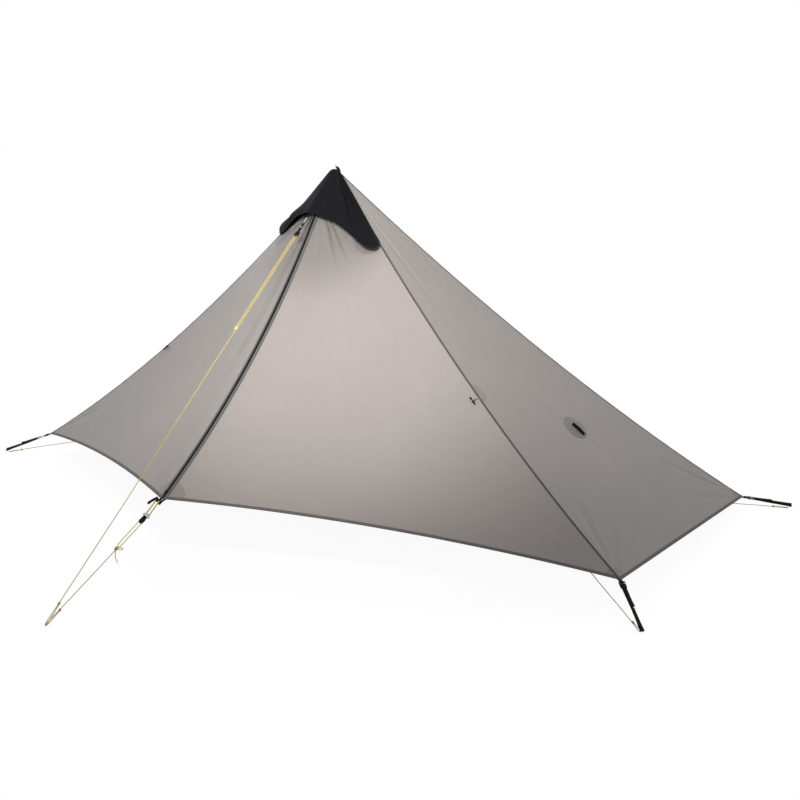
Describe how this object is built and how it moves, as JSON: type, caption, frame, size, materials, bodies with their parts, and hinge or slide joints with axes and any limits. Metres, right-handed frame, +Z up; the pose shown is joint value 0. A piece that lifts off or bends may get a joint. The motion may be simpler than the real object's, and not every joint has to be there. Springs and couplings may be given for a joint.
{
  "type": "tent",
  "caption": "Low one-person pyramid tent on a centre pole, with zipped front doors, a storm hood over the vent, a mesh inner and adjustable corner straps.",
  "frame": {"origin": "foot of the pole on the ground, under the peak", "axes": "+X to the right seen from the doors, along the long side; +Y to the back; +Z up"},
  "size_m": [3.0643, 2.2645, 1.266],
  "materials": {
    "fly_fabric": "satin coated nylon",
    "hem_binding": "folded hem with stitching",
    "ridge_seam": "felled and taped seam",
    "hood_fabric": "black coated nylon",
    "black_webbing": "woven polyamide webbing",
    "black_plastic": "moulded acetal",
    "zip_tape": "woven tape with a coil",
    "yellow_cord": "braided cord",
    "ring_plastic": "pale moulded plastic",
    "inner_mesh": "fine mosquito net",
    "floor_fabric": "coated floor cloth",
    "pole_alloy": "anodised",
    "grip_foam": "moulded foam",
    "grey_tape": "narrow woven tape"
  },
  "bodies": {
    "fly": {"back_hem": "hem_binding", "back_panel": "fly_fabric", "front_guy_line": "yellow_cord", "front_guy_lock": "black_plastic", "front_guy_strap": "black_webbing", "front_left_buckle": "black_plastic", "front_left_inner_line": "yellow_cord", "front_left_seam": "ridge_seam", "front_left_strap": "black_webbing", "front_right_buckle": "black_plastic", "front_right_inner_line": "yellow_cord", "front_right_seam": "ridge_seam", "front_right_strap": "black_webbing", "hood": "hood_fabric", "hood_brim": "black_webbing", "inner_canopy": "inner_mesh", "inner_floor": "floor_fabric", "inner_hang_strap": "black_webbing", "left_end_hem": "hem_binding", "left_end_panel": "fly_fabric", "left_front_panel": "fly_fabric", "left_guyout": "black_webbing", "left_toggle_loop": "grey_tape", "peak_cap": "hood_fabric", "pole_clamp": "black_plastic", "pole_grip": "grip_foam", "pole_upper_tube": "pole_alloy", "rear_left_buckle": "black_plastic", "rear_left_inner_line": "yellow_cord", "rear_left_seam": "ridge_seam", "rear_left_strap": "black_webbing", "rear_right_buckle": "black_plastic", "rear_right_inner_line": "yellow_cord", "rear_right_seam": "ridge_seam", "rear_right_strap": "black_webbing", "right_end_hem": "hem_binding", "right_end_panel": "fly_fabric", "right_front_panel": "fly_fabric", "right_guyout": "black_webbing", "right_toggle_loop": "grey_tape", "vent_panel": "inner_mesh"},
    "right_door": {"right_door": "fly_fabric", "right_door_hem": "hem_binding", "right_zip_tape": "zip_tape", "right_door_tab": "black_webbing"},
    "left_door": {"left_door": "fly_fabric", "left_door_hem": "hem_binding", "left_zip_tape": "zip_tape", "left_door_tab": "black_webbing"},
    "zip_slider": {"zip_slider": "black_plastic"},
    "inner_door": {"inner_door": "inner_mesh"},
    "pole_lower": {"pole_lower_tube": "pole_alloy", "pole_tip": "black_plastic"},
    "pole_lever": {"pole_clamp_lever": "black_plastic"},
    "left_toggle": {"left_toggle": "black_plastic"},
    "right_toggle": {"right_toggle": "black_plastic"},
    "vestibule_line": {"vestibule_line": "yellow_cord", "vestibule_lock": "black_plastic", "vestibule_ring": "ring_plastic", "vestibule_loop": "yellow_cord"}
  },
  "joints": [
    {"name": "right_door_open", "type": "hinge", "parent": "fly", "child": "right_door", "pos_m": [0, -0.147, 1.078], "axis": [-0.8039, 0.1186, 0.5828], "range_deg": [0, 120]},
    {"name": "left_door_open", "type": "hinge", "parent": "fly", "child": "left_door", "pos_m": [0, -0.147, 1.078], "axis": [-0.8039, -0.1186, -0.5828], "range_deg": [0, 120]},
    {"name": "zip_slide", "type": "hinge", "parent": "left_door", "child": "zip_slider", "pos_m": [0, -2.79962, 2.81173], "axis": [1, 0, 0], "range_deg": [0, 18.5]},
    {"name": "inner_door_open", "type": "hinge", "parent": "fly", "child": "inner_door", "pos_m": [0.78, 0.0455, 0.13], "axis": [-0.7367, -0.0009, 0.6762], "range_deg": [0, 75]},
    {"name": "pole_telescope", "type": "slide", "parent": "fly", "child": "pole_lower", "axis": [0, 0, 1], "range_m": [0, 0.34]},
    {"name": "pole_lever_open", "type": "hinge", "parent": "fly", "child": "pole_lever", "pos_m": [0.0155, 0, 0.6445], "axis": [0, -1, 0], "range_deg": [0, 110]},
    {"name": "left_toggle_swing", "type": "hinge", "parent": "fly", "child": "left_toggle", "pos_m": [-0.7274, -0.21322, 0.54038], "axis": [-0.3581, -0.6788, 0.641], "range_deg": [-25, 25]},
    {"name": "right_toggle_swing", "type": "hinge", "parent": "fly", "child": "right_toggle", "pos_m": [0.7274, -0.21322, 0.54038], "axis": [0.3581, -0.6788, 0.641], "range_deg": [-25, 25]},
    {"name": "vestibule_line_drop", "type": "hinge", "parent": "fly", "child": "vestibule_line", "pos_m": [0, -1.396, 0.002], "axis": [1, 0, 0], "range_deg": [-19.5, 0]}
  ],
  "couplings": [
    {"joint": "zip_slide", "follows": "right_door_open", "ratio": 0.154},
    {"joint": "vestibule_line_drop", "follows": "left_door_open", "ratio": -0.16}
  ]
}
